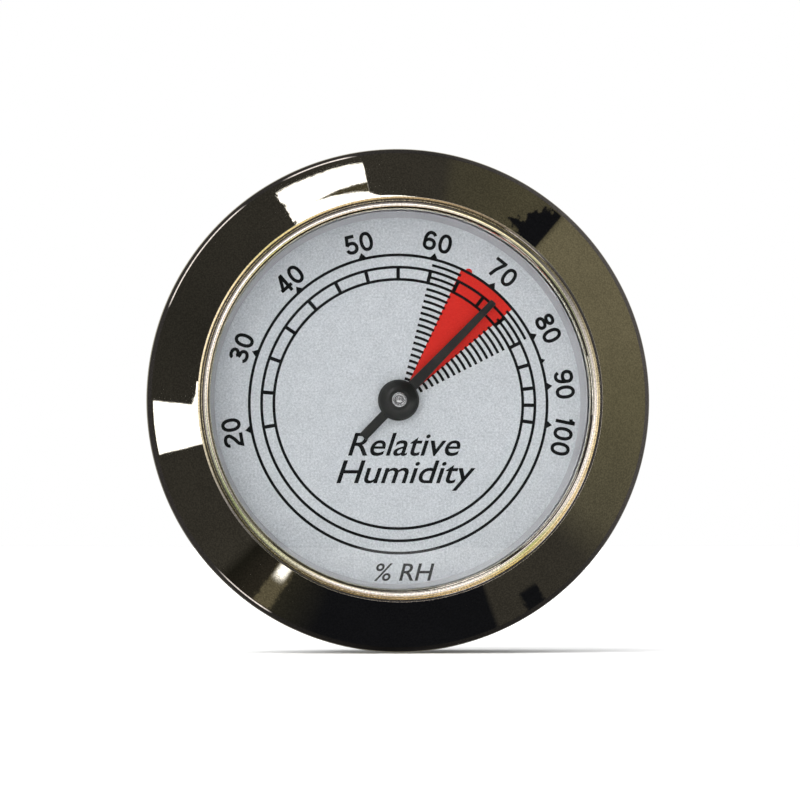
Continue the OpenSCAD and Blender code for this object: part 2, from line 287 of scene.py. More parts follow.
# Pale hygroscopic coating on the outer side of the strip
COATING = grained("coil_coating", (5000, 9000, 5000), (0.56, 0.50, 0.38), (0.74, 0.69, 0.56), (0.6, 0.85),
                  0.01, detail=5.0, Sheen_Weight=0.1)
PLASTIC = case_plastic()


# ------------ mesh helpers

# Angle between two faces from which their edge counts as a corner
SHARP = 35.0


def finish_mesh(name, points, faces, materials, sharp=SHARP):
    """A smooth-shaded object from points in millimetres, with sharp edges at the surface's corners."""
    mesh = bpy.data.meshes.new(name)
    mesh.from_pydata([tuple(c * MM for c in p) for p in points], [], faces)
    work = bmesh.new()
    work.from_mesh(mesh)
    bmesh.ops.recalc_face_normals(work, faces=work.faces)
    work.to_mesh(mesh)
    work.free()
    mesh.shade_smooth()
    mesh.set_sharp_from_angle(angle=math.radians(sharp))
    for material in materials:
        mesh.materials.append(material)
    made = bpy.data.objects.new(name, mesh)
    scene.collection.objects.link(made)
    return made


def turned(name, profile, material, segments=360):
    """A closed profile of (radius, height) turned about the instrument's axis."""
    points, rows = [], []
    for radius, height in profile:
        if radius < 1e-6:
            rows.append([len(points)] * segments)
            points.append((0, -height, 0))
            continue
        rows.append(list(range(len(points), len(points) + segments)))
        for i in range(segments):
            x, z = polar(radius, 360 * i / segments)
            points.append((x, -height, z))
    faces = []
    for k, row in enumerate(rows):
        after = rows[(k + 1) % len(rows)]
        for i in range(segments):
            j = (i + 1) % segments
            corners = list(dict.fromkeys([row[i], row[j], after[j], after[i]]))
            if len(corners) > 2:
                faces.append(corners)
    return finish_mesh(name, points, faces, [material])


def corner_line(points, radius, steps=6):
    """An open line with each inner corner rounded to a radius."""
    made = [points[0]]
    for before, corner, after in zip(points, points[1:], points[2:]):
        p, a, b = (Vector(q) for q in (corner, before, after))
        u, v = (a - p).normalized(), (b - p).normalized()
        half = u.angle(v) / 2
        cut = min(radius / math.tan(half), 0.45 * (a - p).length, 0.45 * (b - p).length)
        start, end = p + u * cut, p + v * cut
        for i in range(steps + 1):
            t = i / steps
            q = start.lerp(p, t).lerp(p.lerp(end, t), t)
            made.append((q.x, q.y))
    return made + [points[-1]]


# ------------ bezel

BEZEL_R = node_radius("bezel")
BEZEL_H = -node_box("bezel")[0].y
OPENING_R = 18.75
SEAT_H = 3.0
SHEET_T = 0.5
LIP_T = 0.35
LIP_EASE = 0.05
ROOT_R = 22.3
EDGE_R = 1.0
BEAD_R = 0.4
RIDGE_R = 0.02
RIDGE_X = 1.22
RIDGE_H = 4.1495
# Radii of the bead's outer flank, of the face that falls from the ridge, and of the groove's corners
FLANK_R = 1.25
FALL_R = 1.8
GROOVE_R = 0.02
# Slopes where the flank ends, where the falling face begins and ends, and of the groove's side, and the lean
# of the wall under the flank
FLANK_SLOPE = 18.5
FALL_FROM, FALL_TO = 16, 22
GROOVE_SLOPE = 42
WALL_LEAN = 15
# Radius at which the cone's underside meets the lens seat, and how far the skin's end tucks in
SEAT_R = OPENING_R + 1.9
TUCK = 0.08
# Half the angle, in degrees, that the cone's face turns through from its outer to its inner edge
CROWN = 1.5


def crowned(a, b, steps):
    """Points between a and b on the shallow arc that meets both rolled edges smoothly."""
    chord = Vector(b) - Vector(a)
    out = Vector((-chord.y, chord.x)).normalized()
    if out.y < 0:
        out = -out
    bulge = chord.length * math.radians(CROWN)
    shares = [i / steps for i in range(1, steps)]
    return [tuple(Vector(a) + chord * s + out * bulge * s * (1 - s)) for s in shares]


def cone_slope():
    """Slope of the cone, in degrees: it touches the rolled edge and the ridge."""
    run, rise = BEZEL_R - EDGE_R - (OPENING_R + RIDGE_X), RIDGE_H - RIDGE_R - EDGE_R
    return math.degrees(math.atan2(rise, run) - math.asin((EDGE_R - RIDGE_R) / math.hypot(run, rise)))


def bezel():
    """The spun ring: rolled edge, wide cone, ridge, groove and bead, then back under the skin to the lip."""
    edge = (BEZEL_R - EDGE_R, EDGE_R)
    ridge = (OPENING_R + RIDGE_X, RIDGE_H - RIDGE_R)
    bead = (OPENING_R + BEAD_R, BEZEL_H - BEAD_R)
    facing = 90 - cone_slope()
    outside = [(ROOT_R + LIP_EASE, 0)]
    outside += arc((BEZEL_R - LIP_T, LIP_T), LIP_T, -90, 0, 6)
    rolled = arc(edge, EDGE_R, 0, facing - CROWN, 24)
    crest = arc(ridge, RIDGE_R, facing + CROWN, 90 + FALL_FROM, 8)
    middle = Vector(ridge) + Vector(polar(RIDGE_R - FALL_R, -FALL_FROM))
    crest += arc(middle, FALL_R, 90 + FALL_FROM, 90 + FALL_TO, 12)[1:]
    middle += Vector(polar(FALL_R - GROOVE_R, -FALL_TO))
    crest += arc(middle, GROOVE_R, 90 + FALL_TO, 90 + GROOVE_SLOPE, 4)[1:]
    flank = arc((bead[0], BEZEL_H - FLANK_R), FLANK_R, 90 - FLANK_SLOPE, 90, 10)
    turn = math.radians(90 - FLANK_SLOPE)
    corner = (flank[0][0] - GROOVE_R * math.cos(turn), flank[0][1] - GROOVE_R * math.sin(turn))
    drop = arc(corner, GROOVE_R, WALL_LEAN, 90 - FLANK_SLOPE, 6)
    # The fillet in the groove touches the wall under the flank and the slope that comes down from the ridge
    steep, slope = math.radians(WALL_LEAN), math.radians(GROOVE_SLOPE)
    start = Vector(corner) + Vector((math.cos(steep), math.sin(steep))) * 2 * GROOVE_R
    down, up = Vector((math.sin(steep), -math.cos(steep))), Vector((-math.sin(slope), math.cos(slope)))
    hollow = start + down * ((GROOVE_R - (start - Vector(crest[-1])).dot(up)) / down.dot(up))
    groove = arc(hollow, -GROOVE_R, 90 + GROOVE_SLOPE, WALL_LEAN, 8)
    outside += rolled + crowned(rolled[-1], crest[0], 24) + crest + groove + drop[1:] + flank[1:]
    outside += arc(bead, BEAD_R, 90, 180, 24)[1:]
    inner_edge = arc(edge, EDGE_R - SHEET_T, facing, 0, 8)
    inside = [(OPENING_R, SEAT_H + TUCK), (OPENING_R + TUCK, SEAT_H), (SEAT_R, SEAT_H)]
    inside += inner_edge + [(BEZEL_R - SHEET_T, LIP_T + 0.02), (ROOT_R, LIP_T), (ROOT_R, LIP_EASE)]
    return turned("bezel_shell", outside + inside, BEZEL)


# ------------ dial print

# The print's thickness, how deep it sits in the plate, and its offset from the instrument's axis
INK_T = 0.012
RED_T = 0.006
PRINT_SINK = 0.002
PRINT_DROP = 0.33
PRINT_SHIFT = 0.05
LINE_W = 0.28
TICK_W = 0.36
HATCH_W = 0.27
OUTER_CIRCLE = 14.86
LADDER_OUTER = 13.64
LADDER_INNER = 12.42
# Radius of each numeral's middle, and how far the last one is turned past its mark
NUMERAL_R = {20: 16.8, 30: 16.58, 40: 16.46, 50: 16.5, 60: 16.62, 70: 16.78, 80: 16.8, 90: 16.72, 100: 16.72}
NUMERAL_H = 1.95
LAST_TURN = 3.3
# Clock angle of each ten on the scale, which closes up towards the damp end
TENS = {20: -100, 30: -70.5, 40: -41.3, 50: -14, 60: 13.6, 70: 38.5, 80: 63.2, 90: 83.2, 100: 97.8}
RED_FROM, RED_TO = 25.0, 50.2
HATCH_FROM, HATCH_TO = 13.6, 63.0
HATCH_PITCH = 0.613
HATCH_COUNT = 20
# Base and height of the triangles at the tens and of the small one at 85
TEN_MARK = 0.75, 0.52
SMALL_MARK = 0.5, 0.36
MARK_OVERLAP = 0.02
# Where the red sector's point is cut off, and the small red bump beside its corner: clock angle and radius
RED_START = 1.7
BUMP_CLOCK, BUMP_R = 28, 0.32


class Print:
    """Thin closed shapes on the dial's face, drawn as (x, z) outlines about the print's centre."""

    def __init__(self, thickness):
        self.back = node_box("dial_plate")[0].y + PRINT_SINK
        self.front = node_box("dial_plate")[0].y - thickness
        self.points, self.faces = [], []

    def add(self, outline, hole=()):
        """An outline, or a band between an outline and a hole of the same number of points."""
        base, n = len(self.points), len(outline)
        for y in (self.front, self.back):
            self.points += [(x + PRINT_SHIFT, y, z - PRINT_DROP) for x, z in [*outline, *hole]]
        step = n + len(hole)
        for loop in range(2 if hole else 1):
            for i in range(n):
                a, b = base + loop * n + i, base + loop * n + (i + 1) % n
                self.faces.append((a, b, b + step, a + step))
        for y in (0, step):
            if not hole:
                self.faces.append([base + y + i for i in range(n)])
                continue
            for i in range(n):
                j = (i + 1) % n
                self.faces.append([base + y + k for k in (i, j, n + j, n + i)])

    def circle(self, radius, width):
        outer, inner = radius + width / 2, radius - width / 2
        self.add([polar(outer, a) for a in range(360)], [polar(inner, a) for a in range(360)])

    def sector(self, r0, r1, start, end):
        steps = max(2, round(abs(end - start)))
        angles = np.linspace(start, end, steps + 1)
        self.add([polar(r1, a) for a in angles] + [polar(r0, a) for a in reversed(angles)])

    def bar(self, clock, r0, r1, width):
        out, side = Vector(polar(1, clock)), Vector(polar(width / 2, clock + 90))
        corners = (out * r0 - side, out * r1 - side, out * r1 + side, out * r0 + side)
        self.add([tuple(corner) for corner in corners])

    def wedge(self, clock, radius, base, height):
        out, side = Vector(polar(1, clock)), Vector(polar(base / 2, clock + 90))
        self.add([tuple(out * radius - side), tuple(out * (radius + height)), tuple(out * radius + side)])

    def stroke(self, line, weight, place, closed=False):
        """A line of constant width with mitred corners. place puts its points on the dial."""
        n = len(line)
        left, right = [], []
        for i, p in enumerate(line):
            before = line[i - 1] if i > 0 or closed else None
            after = line[(i + 1) % n] if i < n - 1 or closed else None
            sides = []
            for a, b in ((before, p), (p, after)):
                if a is not None and b is not None:
                    run = (Vector(b) - Vector(a)).normalized()
                    sides.append(Vector((-run.y, run.x)))
            side = sum(sides, Vector((0, 0))).normalized()
            side *= weight / 2 / max(0.4, side.dot(sides[0]))
            left.append(place(*(Vector(p) + side)))
            right.append(place(*(Vector(p) - side)))
        if closed:
            self.add(left, right)
        else:
            self.add(left + right[::-1])

    def number(self, text, height, place):
        """A number in plain even strokes, centred."""
        widths = [ONE_W if c == "1" else DIGIT_W for c in text]
        start = -(sum(widths) + DIGIT_GAP * (len(text) - 1)) / 2
        for c, width in zip(text, widths):

            def put(x, z, start=start):
                return place((start + x) * height, (z - 0.5) * height)

            for line, closed in digit(c, width):
                self.stroke(line, DIGIT_WEIGHT, put, closed)
            start += width + DIGIT_GAP

    def letters(self, text, height, place, shear=0.0, bold=0.0, width=1.0):
        """Lettering in Blender's own font, centred, its capitals this high, put in place by a 2D matrix."""
        curve = bpy.data.curves.new("letters", "FONT")
        curve.body = text
        curve.align_x = "CENTER"
        curve.align_y = "CENTER"
        curve.shear = shear
        curve.offset = bold
        curve.resolution_u = 6
        curve.fill_mode = "FRONT"
        holder = bpy.data.objects.new("letters", curve)
        mesh = bpy.data.meshes.new_from_object(holder)
        work = bmesh.new()
        work.from_mesh(mesh)
        bmesh.ops.remove_doubles(work, verts=work.verts, dist=1e-5)
        middle = (max(v.co.y for v in work.verts) + min(v.co.y for v in work.verts)) / 2
        scale = height / CAP_HEIGHT
        base = len(self.points)
        n = len(work.verts)
        for y in (self.front, self.back):
            for v in work.verts:
                x, z = place(v.co.x * scale * width, (v.co.y - middle) * scale)
                self.points.append((x + PRINT_SHIFT, y, z - PRINT_DROP))
        work.verts.index_update()
        for face in work.faces:
            corners = [v.index for v in face.verts]
            self.faces.append([base + i for i in corners])
            self.faces.append([base + n + i for i in reversed(corners)])
        for edge in work.edges:
            if len(edge.link_faces) == 1:
                a, b = (v.index for v in edge.verts)
                self.faces.append([base + a, base + b, base + n + b, base + n + a])
        work.free()
        bpy.data.objects.remove(holder)
        bpy.data.curves.remove(curve)
        bpy.data.meshes.remove(mesh)

    def build(self, name, material):
        return finish_mesh(name, self.points, self.faces, [material])


# Height of a capital in Blender's font at size 1
CAP_HEIGHT = 0.69
# Widths, gap and weight of the digits, as shares of their height
DIGIT_W = 0.68
ONE_W = 0.4
DIGIT_GAP = 0.11
DIGIT_WEIGHT = 0.175
# How squared the digits' ovals are: 2 is an ellipse
SQUARED = 2.2


def oval(x, z, rx, rz, start, end):
    """Part of a slightly squared oval, from angle start to angle end, anticlockwise from the right."""
    points = []
    for a in np.radians(np.linspace(start, end, max(6, round(abs(end - start) / 12)) + 1)):
        across, up = (math.copysign(abs(s) ** (2 / SQUARED), s) for s in (math.cos(a), math.sin(a)))
        points.append((x + rx * across, z + rz * up))
    return points


def digit(c, width):
    """The strokes of a digit in a box of height 1, as (centre line, whether it closes)."""
    edge = DIGIT_WEIGHT / 2
    left, mid, right, top = edge, width / 2, width - edge, 1 - edge
    half = mid - edge

    def ring(z, rx, rz):
        return oval(mid, z, rx, rz, 0, 360)[:-1], True

    def lines(*made):
        return [(line, False) for line in made]

    if c == "0":
        return [ring(0.5, half, 0.5 - edge)]
    if c == "1":
        stem = [(right - 0.06, 0), (right - 0.06, 1)]
        flag = [(left - 0.04, 0.76), (right - 0.1, 0.79)]
        return lines(stem, flag, [(right - 0.15, 0.78), (right - 0.07, 0.97)])
    if c == "2":
        hook = oval(mid, 0.72, half, 0.28 - edge, 185, -28)
        return lines(hook + [(mid + 0.05, 0.43), (left + 0.07, 0.26), (left, edge), (width, edge)])
    if c == "3":
        upper = oval(mid, 0.745, half - 0.03, 0.255 - edge, 168, -90) + [(mid - 0.1, 0.49 + edge / 2)]
        lower = [(mid - 0.1, 0.56 - edge / 2)] + oval(mid, 0.28, half, 0.28 - edge, 90, -168)
        return lines(upper, lower)
    if c == "4":
        stem = width - 0.2
        slant = [(stem - 0.035, 0.95), (left + 0.025, 0.28)]
        return lines([(stem, 0), (stem, 1)], [(0.0, 0.28), (width, 0.28)], slant)
    if c == "5":
        flag = [(right - 0.03, top), (left + 0.1, top), (left + 0.035, 0.47)]
        return lines(flag, oval(mid, 0.33, half, 0.33 - edge, 152, -165))
    if c == "7":
        stem = [(right, top), (right, top - 0.02), (mid + 0.02, 0.42), (mid - 0.09, 0)]
        return lines([(0.02, top)] + stem)
    if c == "8":
        return [ring(0.755, half - 0.035, 0.245 - edge), ring(0.275, half, 0.275 - edge)]
    six = [ring(0.32, half, 0.32 - edge)] + lines(oval(mid + 0.01, 0.5, half + 0.01, 0.5 - edge, 195, 38))
    if c == "6":
        return six
    return [([(width - x, 1 - z) for x, z in line], closed) for line, closed in six]


def outward(radius, clock):
    """Places lettering at a radius with its top outwards."""
    cos, sin = math.cos(math.radians(clock)), math.sin(math.radians(clock))
    return lambda x, z: (x * cos + (z + radius) * sin, (z + radius) * cos - x * sin)


def upright(x0, z0):
    return lambda x, z: (x + x0, z + z0)


def scale_print():
    """Circles, ladder, triangular marks and numerals of the scale."""
    made = Print(INK_T)
    for radius in (OUTER_CIRCLE, LADDER_OUTER, LADDER_INNER):
        made.circle(radius, LINE_W)
    tens = sorted(TENS)
    fives = {(a + b) // 2: (TENS[a] + TENS[b]) / 2 for a, b in zip(tens, tens[1:])}
    for clock in sorted([*TENS.values(), *fives.values()]):
        made.bar(clock, LADDER_INNER + LINE_W / 2, LADDER_OUTER - LINE_W / 2, TICK_W)
    foot = OUTER_CIRCLE + LINE_W / 2 - MARK_OVERLAP
    for value in tens:
        made.wedge(TENS[value], foot, *TEN_MARK)
    made.wedge(fives[85], foot, *SMALL_MARK)
    for value in tens:
        clock = TENS[value] + (LAST_TURN if value == tens[-1] else 0)
        made.number(str(value), NUMERAL_H, outward(NUMERAL_R[value], clock))
    return made.build("scale_print", BLACK_INK)


def hatch_print():
    """Short dashes on both sides of the red sector, each an arc about the middle of the dial."""
    made = Print(INK_T)
    for i in range(1, HATCH_COUNT + 1):
        radius = OUTER_CIRCLE - i * HATCH_PITCH
        if min(abs(radius - circle) for circle in (LADDER_OUTER, LADDER_INNER)) < HATCH_W:
            continue
        for start, end in ((HATCH_FROM, RED_FROM + 1), (RED_TO - 1, HATCH_TO)):
            made.sector(radius - HATCH_W / 2, radius + HATCH_W / 2, start, end)
    return made.build("hatch_print", BLACK_INK)


def red_print():
    made = Print(RED_T)
    made.sector(RED_START, OUTER_CIRCLE, RED_FROM, RED_TO)
    made.add([polar(OUTER_CIRCLE + 0.1 + BUMP_R * math.cos(a), BUMP_CLOCK + 1.4 * math.sin(a))
              for a in np.linspace(0, 2 * math.pi, 16, endpoint=False)])
    return made.build("red_print", RED_INK)


def title_print():
    """Generic lettering: what the scale shows, and its unit."""
    made = Print(INK_T)
    made.letters("Relative", 2.25, upright(0.35, -4.05), shear=0.3, bold=0.008, width=1.08)
    made.letters("Humidity", 2.25, upright(0.35, -7.15), shear=0.3, bold=0.008, width=1.12)
    made.letters("% RH", 1.7, upright(0.35, -16.75), shear=0.25, bold=0.008, width=1.05)
    return made.build("title_print", BLACK_INK)


# ------------ pointer

# Half widths of the needle, the radius of its ring, the length of its tail and the rounding of its tip
TIP_W, WAIST_W, NECK_W, TAIL_W = 0.34, 0.44, 0.51, 0.47
NEEDLE_RING_R = 1.8
TAIL_L = 5.1
TIP_ROUND = 0.14
# The hub's crown and the hole for the arbor
CROWN_R, HUB_BORE = 1.05, 0.62
# The arbor's hollow, its body, its rear pivot and the height where the pivot begins
HOLLOW_R, BODY_R, PIVOT_R = 0.38, 0.6, 0.4
SHOULDER = -6.15


def needle():
    """Stamped needle with softened edges: a long blade, a ring round the hub and a blunt tail."""
    low, high = node_box("pointer")
    corners = [v.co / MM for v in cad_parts["pointer"].data.vertices]
    reach = max(math.hypot(p.x, p.z) for p in corners)
    tip = sum((p for p in corners if math.hypot(p.x, p.z) > reach - 0.01), Vector((0, 0, 0)))
    length = reach - 0.01
    right = [(TAIL_W, -TAIL_L), (TAIL_W, -NEEDLE_RING_R - 0.1)]
    right += arc((0, 0), NEEDLE_RING_R, -72, 68, 18)
    right += [(NECK_W + 0.04, NEEDLE_RING_R + 0.25), (WAIST_W, length / 2)]
    right += arc((TIP_W - TIP_ROUND, length - TIP_ROUND), TIP_ROUND, 2, 90, 6)
    outline = right + [(-x, z) for x, z in reversed(right)]
    turn = math.atan2(tip.x, tip.z)
    cos, sin = math.cos(turn), math.sin(turn)
    outline = [(x * cos + z * sin, z * cos - x * sin) for x, z in outline]
    n = len(outline)
    points = [(x, y, z) for y in (low.y, high.y) for x, z in outline]
    faces = [list(range(n)), list(range(n, 2 * n))]
    faces += [(i, (i + 1) % n, n + (i + 1) % n, n + i) for i in range(n)]
    made = finish_mesh("needle_blade", points, faces, [PAINT])
    soften(made, 0.07, 3)
    return made


def hub():
    """Domed hub: a rolled skirt, a soft shoulder and a flat crown round the arbor."""
    low, high = node_box("pointer_hub")
    radius, crown, skirt = high.x, -low.y, -high.y
    line = [(HUB_BORE, skirt), (radius - 0.25, skirt), (radius, skirt + 0.16), (radius, 0.34),
            (radius - 0.2, 0.66), (CROWN_R + 0.3, crown - 0.14), (CROWN_R, crown), (HUB_BORE, crown)]
    return turned("hub_dome", corner_line(line, 0.16, 8), PAINT, 160)


def arbor():
    """The arbor from its riveted tube tip to the rear pivot."""
    low, high = node_box("arbor")
    tip, end = -low.y, -high.y
    tube_r = high.x
    line = [(0.0, tip - 0.52), (HOLLOW_R * 0.8, tip - 0.6), (HOLLOW_R, tip - 0.5), (HOLLOW_R, tip - 0.14),
            (HOLLOW_R + 0.12, tip), (tube_r - 0.06, tip), (tube_r, tip - 0.1), (tube_r - 0.03, tip - 0.3),
            (BODY_R, tip - 0.31), (BODY_R, SHOULDER + 0.06), (BODY_R - 0.06, SHOULDER), (PIVOT_R, SHOULDER),
            (PIVOT_R, end + 0.12), (PIVOT_R - 0.1, end), (0.0, end)]
    return turned("arbor_shaft", corner_line(line, 0.05, 4), ARBOR_STEEL, 96)


# ------------ humidity coil

COIL_TURNS = 5.5
STRIP_T = 0.22
STRIP_EASE = 0.05
# Angle of the coil's outer end at the stud, anticlockwise from the right as the coil is drawn
STUD_ANGLE = 98
STEPS_PER_TURN = 90


def coil():
    """The spiral strip, with eased edges and a pale coating on its outer side."""
    low, high = node_box("humidity_coil")
    collet_r = node_radius("coil_collet")
    stud_z = (node_box("coil_stud")[0].z + node_box("coil_stud")[1].z) / 2
    r0, r1 = collet_r + STRIP_T / 2 + 0.03, stud_z - 0.07
    start = STUD_ANGLE - 360 * COIL_TURNS
    width, half = high.y - low.y, STRIP_T / 2
    flat = half - STRIP_EASE
    section = [(flat, 0), (half, STRIP_EASE), (half, width - STRIP_EASE), (flat, width),
               (-flat, width), (-half, width - STRIP_EASE), (-half, STRIP_EASE), (-flat, 0)]
    steps = round(COIL_TURNS * STEPS_PER_TURN)
    centres, weights = [], []
    for i in range(steps + 1):
        share = i / steps
        a = math.radians(start + 360 * COIL_TURNS * share)
        radius = r0 + (r1 - r0) * share
        centres.append(Vector((radius * math.cos(a), radius * math.sin(a))))
    # The inner end runs into the slot of the collet
    a = math.radians(start)
    out, side = Vector((math.cos(a), math.sin(a))), Vector((math.sin(a), -math.cos(a)))
    tab = [out * (collet_r + step) + side * STRIP_T / 2 for step in (-0.33, -0.12, 0.02)]
    line = tab + centres[1:]
    lengths = np.concatenate([[0], np.cumsum([(b - a).length for a, b in zip(line, line[1:])])])
    points, faces, rows = [], [], []
    for i, p in enumerate(line):
        ahead = line[min(i + 1, len(line) - 1)] - line[max(i - 1, 0)]
        across = Vector((ahead.y, -ahead.x)).normalized()
        rows.append(len(points))
        for offset, depth in section:
            q = p + across * offset
            points.append((q.x, low.y + depth, q.y))
            weights.append(1 - lengths[i] / lengths[-1])
    n = len(section)
    for a, b in zip(rows, rows[1:]):
        for k in range(n):
            faces.append((a + k, a + (k + 1) % n, b + (k + 1) % n, b + k))
    # Face 1 of each section's ring is the strip's outer side
    coated = range(1, len(faces), n)
    faces += [tuple(rows[0] + k for k in range(n)), tuple(rows[-1] + k for k in reversed(range(n)))]
    made = finish_mesh("coil_strip", points, faces, [COIL, COATING], 30)
    for k in coated:
        made.data.polygons[k].material_index = 1
    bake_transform(made)
    np.array(weights, np.float32)
    return made


# ------------ CAD nodes that stay

def soften(piece, width_mm, segments=2):
    """Eased edges, as stamped, turned or moulded pieces have."""
    weld = piece.modifiers.new("weld", "WELD")
    weld.merge_threshold = 1e-6
    bevel = piece.modifiers.new("ease", "BEVEL")
    bevel.width = width_mm * MM
    bevel.segments = segments
    bevel.limit_method = "ANGLE"
    bevel.angle_limit = math.radians(SHARP)
    bevel.harden_normals = True


def dress(name, material, ease_mm=0.0):
    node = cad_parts[name]
    node.data.materials.clear()
    node.data.materials.append(material)
    if ease_mm:
        soften(node, ease_mm)


dress("lens", GLASS)
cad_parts["lens"].visible_shadow = False
dress("lens_gasket", RUBBER)
dress("spacer_ring", SPACER)
dress("dial_plate", DIAL)
dress("case_cup", PLASTIC, 0.12)
for name in ("dial_feet", "front_bush", "bush_nut", "left_pillar", "right_pillar", "adjuster", "coil_stud",
             "stop_pin", "coil_collet"):
    dress(name, BRASS, 0.05)
for name in ("front_plate", "plate_screws", "bridge", "case_screws", "friction_washer", "retaining_clip",
             "coil_arm", "stud_pin"):
    dress(name, STEEL, 0.05)

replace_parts(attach(bezel(), "case"), "bezel")
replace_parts(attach(needle(), "pointer"), "pointer")
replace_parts(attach(hub(), "pointer"), "pointer_hub")
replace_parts(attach(arbor(), "pointer"), "arbor")
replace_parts(coil(), "humidity_coil")
for printed in (scale_print(), hatch_print(), red_print(), title_print()):
    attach(printed, "case")


# ------------ floor, light and camera

CAMERA_ELEVATION, CAMERA_AZIMUTH = -2.2, -3.7
CAMERA_DISTANCE = 0.35
FRAME_WIDTH = 0.0794
SENSOR_WIDTH = 36
AIM = Vector((0.00011, -0.001, 0.0))
FLOOR_SIZE = 6
FLOOR_GAP = 0.0001
# Radius and height of the middle of the bezel's cone
CONE_R, CONE_H = 22.3, 2.5


def camera_back():
    """Direction from the instrument to the camera."""
    rise, side = math.radians(CAMERA_ELEVATION), math.radians(CAMERA_AZIMUTH)
    return Vector((math.cos(rise) * math.sin(side), -math.cos(rise) * math.cos(side), math.sin(rise)))


def studio_axes():
    """Right, up and the middle direction of the studio, where a flat face turned to -Y mirrors the camera."""
    back = camera_back()
    middle = Vector((-back.x, back.y, -back.z))
    right = Vector((0, 0, 1)).cross(-middle).normalized() * -1
    up = middle.cross(right)
    return right, up if up.z > 0 else -up, middle


def studio_clock(clock):
    """Clock angle, round the studio's middle, of what the cone mirrors at a clock angle of its own."""
    slope = math.radians(cone_slope())
    x, z = polar(1, clock)
    normal = Vector((x * math.sin(slope), -math.cos(slope), z * math.sin(slope)))
    place = Vector((CONE_R * x, -CONE_H, CONE_R * z)) * MM
    view = (AIM + camera_back() * CAMERA_DISTANCE - place).normalized()
    seen = normal * (2 * normal.dot(view)) - view
    right, up, middle = studio_axes()
    return math.degrees(math.atan2(seen.dot(right), seen.dot(up)))


def add_floor():
    low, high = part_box("bezel")
    bpy.ops.mesh.primitive_plane_add(size=FLOOR_SIZE, location=(0, 0, low.z - FLOOR_GAP))
    floor = bpy.context.object
    floor.name = "floor"
    floor.data.materials.append(floor_paint())
    floor.visible_glossy = False


# What the polished bezel mirrors: rings of tones round the studio's middle, one outside the other, each as
# (clock angle on the bezel, tone). A single number is a share of SOFT_LIGHT. The bead's crest mirrors NEAR,
# its flank FLANK, its outer side and the ridge's falling face OUTER, the cone BELT and the rolled edge EDGE.
# REST goes on from there to the sides
SOFT_LIGHT = (0.88, 0.87, 1.1)
BLACK = (0.008, 0.009, 0.014)
DARK = (0.044, 0.043, 0.045)
SHADE = (0.030, 0.030, 0.032)
WALL = (0.172, 0.163, 0.130)
DIM = (0.105, 0.102, 0.088)
WHITE = (2.4, 2.5, 3.0)
WEDGE_TONE = (0.075, 0.068, 0.05)
PALE_TONE = (0.13, 0.12, 0.095)
HOLE_TONE = (0.02, 0.02, 0.02)
BACK_LOW, BACK_HIGH = (0.2, 0.2, 0.2), (0.9, 0.9, 0.9)
NEAR = [
    (-180, 2.2), (-160, 2.2), (-140, (0.9, 1.0, 0.9)), (-122, (0.55, 0.66, 0.5)), (-100, (1.1, 1.2, 1.1)),
    (-80, 2.2), (-60, 3.2), (0, 2.8), (20, (2.4, 2.3, 2.0)), (40, (1.4, 1.4, 1.1)), (60, 0.6), (80, 1.2),
    (100, 2.2), (120, 1.6), (140, (0.9, 0.95, 0.6)), (160, 2.2), (180, 2.2),
]
FLANK = [
    (-180, 1.2), (-160, 1.1), (-140, (0.6, 0.66, 0.5)), (-120, (0.27, 0.32, 0.2)), (-100, 0.7), (-80, 0.65),
    (-60, 0.7), (0, 0.35), (20, (0.16, 0.15, 0.1)), (40, 0.1), (60, 0.45), (80, 0.9), (100, 1.3), (120, 1.1),
    (140, (0.6, 0.66, 0.3)), (160, 1.1), (180, 1.2),
]
OUTER = [
    (-180, (0.7, 0.55, 0.4)), (-160, (0.45, 0.36, 0.28)), (-140, 0.2), (-120, 0.08), (-100, 0.08),
    (-80, 0.07), (20, 0.06), (40, 0.07), (60, 0.4), (80, (1.0, 0.95, 0.9)), (100, (1.5, 1.35, 1.2)),
    (120, (1.4, 1.2, 1.0)), (140, (1.1, 1.0, 0.6)), (160, (1.1, 0.9, 0.65)), (180, (0.7, 0.55, 0.4)),
]
BELT = [
    (-180, BLACK), (-160, BLACK), (-149, (0.028, 0.028, 0.026)), (-142, (0.028, 0.026, 0.025)),
    (-136, (0.014, 0.014, 0.013)), (-133, DARK), (-70, SHADE), (-7, DARK), (11, DARK),
    (14, (0.065, 0.063, 0.055)), (31, (0.085, 0.082, 0.066)), (41.7, (0.085, 0.082, 0.066)), (42, WALL),
    (75, WALL), (90, (0.14, 0.135, 0.105)), (120, DIM), (131, DARK), (155.7, DARK), (156.2, BLACK),
    (180, BLACK),
]
EDGE = [
    (-180, 0.01), (-149, 0.03), (-147.5, 1.5), (-137, 1.2), (-133, 0.05), (-68, 0.05), (-66, 1.5), (-40, 1.5),
    (-38, 0.05), (-27, 0.05), (-25, 1.5), (-12, 1.5), (-10, 0.05), (10, 0.04), (45, 0.12), (110, 0.1),
    (135, 0.04), (180, 0.01),
]
REST = [(-180, 0.01), (-135, 0.05), (10, 0.05), (45, 0.13), (110, 0.1), (135, 0.04), (180, 0.01)]
# Off-axis angles between which the dark hole round the camera, and then each ring, give way to the next one.
# The strip lights and cards on the belt begin at LIGHTS_FROM
HOLE_END = (3.4, 5.0)
NEAR_END = (9, 16)
FLANK_END = (23, 31)
OUTER_END = (37.5, 44)
LIGHTS_FROM = (45, 47)
BELT_END = (62.5, 64)
EDGE_END = (76, 79)
REST_END = (125, 150)
# Places on the cone: clock angles, off-axis angles, the softness of both pairs of borders, and raggedness
STREAK = (-148, -143.4), (50, 56.6), 2, 2, 0
PALE_BAND = (-149, -143), (50, 62), 1.5, 1.5, 4
PATCH = (143, 149), (57.0, 63), 1, 0.8, 3
